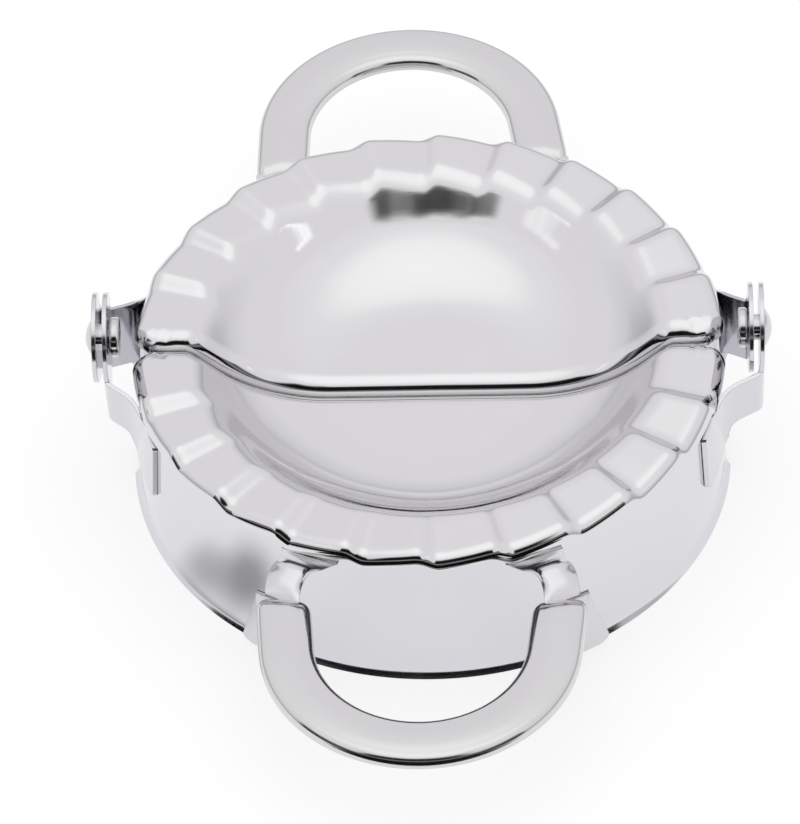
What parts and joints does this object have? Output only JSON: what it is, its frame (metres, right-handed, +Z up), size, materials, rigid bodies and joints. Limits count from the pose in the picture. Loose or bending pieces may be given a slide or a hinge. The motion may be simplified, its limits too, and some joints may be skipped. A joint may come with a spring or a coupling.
{
  "type": "empanada press",
  "caption": "Hinged press that cuts a dough disc with its round ring, folds it in half and crimps the edge with a fluted rim.",
  "frame": {"origin": "on the worktop, under the middle of the hinge line, with the press lying open", "axes": "+X along the hinge line, +Y towards the rear handle, +Z up"},
  "size_m": [0.1092, 0.1651, 0.0361],
  "materials": {
    "mould_steel": "polished stainless sheet",
    "ring_steel": "satin stainless sheet",
    "handle_steel": "polished stainless sheet",
    "bracket_steel": "bright stainless sheet",
    "strap_steel": "bright stainless sheet",
    "rivet_steel": "bright stainless wire"
  },
  "bodies": {
    "rear_half": {"left_hinge_rivet": "rivet_steel", "rear_cutter_ring": "ring_steel", "rear_handle": "handle_steel", "rear_inner_hinge_strap": "strap_steel", "rear_left_handle_bracket": "bracket_steel", "rear_left_handle_stay": "bracket_steel", "rear_mould_shell": "mould_steel", "rear_outer_hinge_strap": "strap_steel", "rear_right_handle_bracket": "bracket_steel", "rear_right_handle_stay": "bracket_steel", "right_hinge_rivet": "rivet_steel"},
    "front_half": {"front_cutter_ring": "ring_steel", "front_handle": "handle_steel", "front_inner_hinge_strap": "strap_steel", "front_left_handle_bracket": "bracket_steel", "front_left_handle_stay": "bracket_steel", "front_mould_shell": "mould_steel", "front_outer_hinge_strap": "strap_steel", "front_right_handle_bracket": "bracket_steel", "front_right_handle_stay": "bracket_steel"}
  },
  "joints": [
    {"name": "fold", "type": "hinge", "parent": "rear_half", "child": "front_half", "pos_m": [0, 0, 0.0289], "axis": [-1, 0, 0], "range_deg": [0, 180]}
  ]
}
